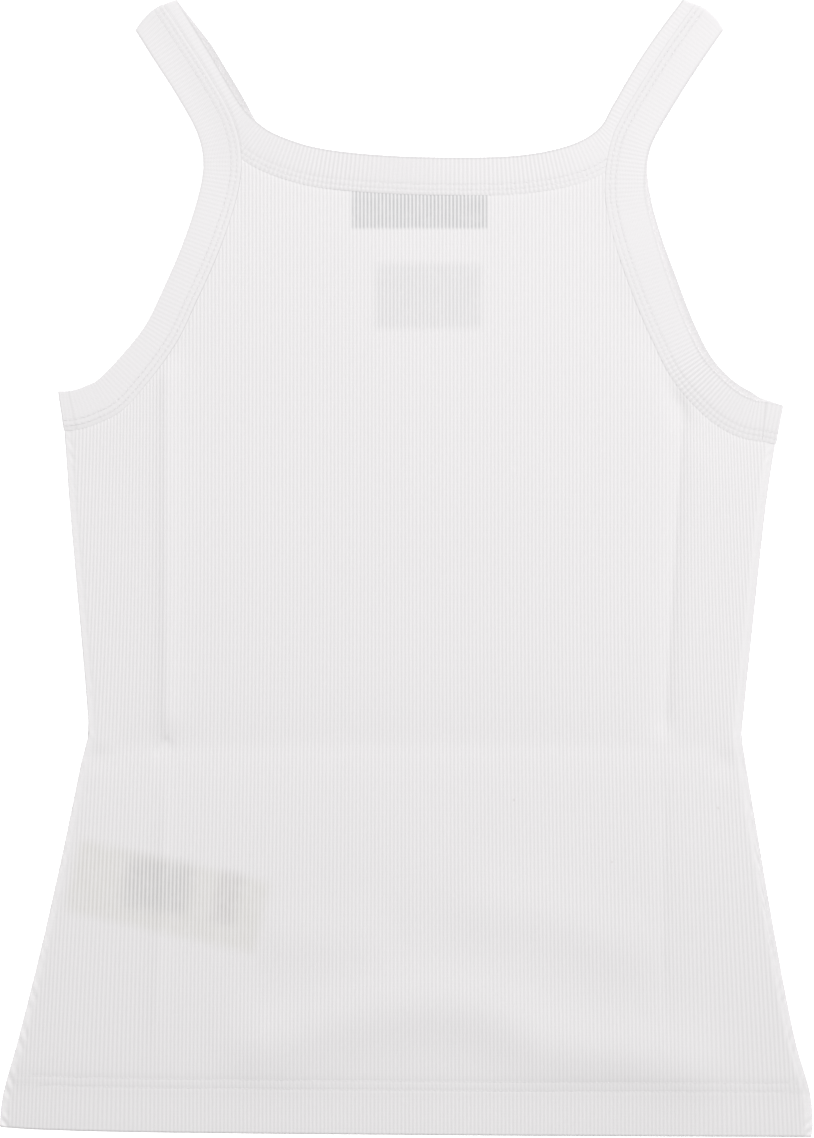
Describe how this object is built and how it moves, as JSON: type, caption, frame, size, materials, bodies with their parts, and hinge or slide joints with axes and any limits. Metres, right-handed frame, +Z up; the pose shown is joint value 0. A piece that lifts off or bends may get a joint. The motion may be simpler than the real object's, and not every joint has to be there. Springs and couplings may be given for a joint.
{
  "type": "tank top",
  "caption": "Women's tank top in white ribbed jersey with bound neck, armholes and shoulder straps, lying flat with its back up",
  "frame": {"origin": "on the surface that the garment lies on, under the middle of its bounding box", "axes": "+X to the right of the garment as it is seen from above, +Y from the hem to the straps, +Z up from the surface"},
  "size_m": [0.4146, 0.58, 0.0045],
  "materials": {
    "rib_jersey": "white 1x1 rib jersey, matt",
    "rib_binding": "white rib jersey folded double, matt",
    "label_tape": "blank woven tape, slight sheen"
  },
  "bodies": {
    "root": {"back_panel": "rib_jersey", "front_panel": "rib_jersey", "neck_binding": "rib_binding", "armhole_binding_left": "rib_binding", "armhole_binding_right": "rib_binding", "neck_label": "label_tape", "size_label": "label_tape", "care_label": "label_tape"}
  },
  "joints": []
}
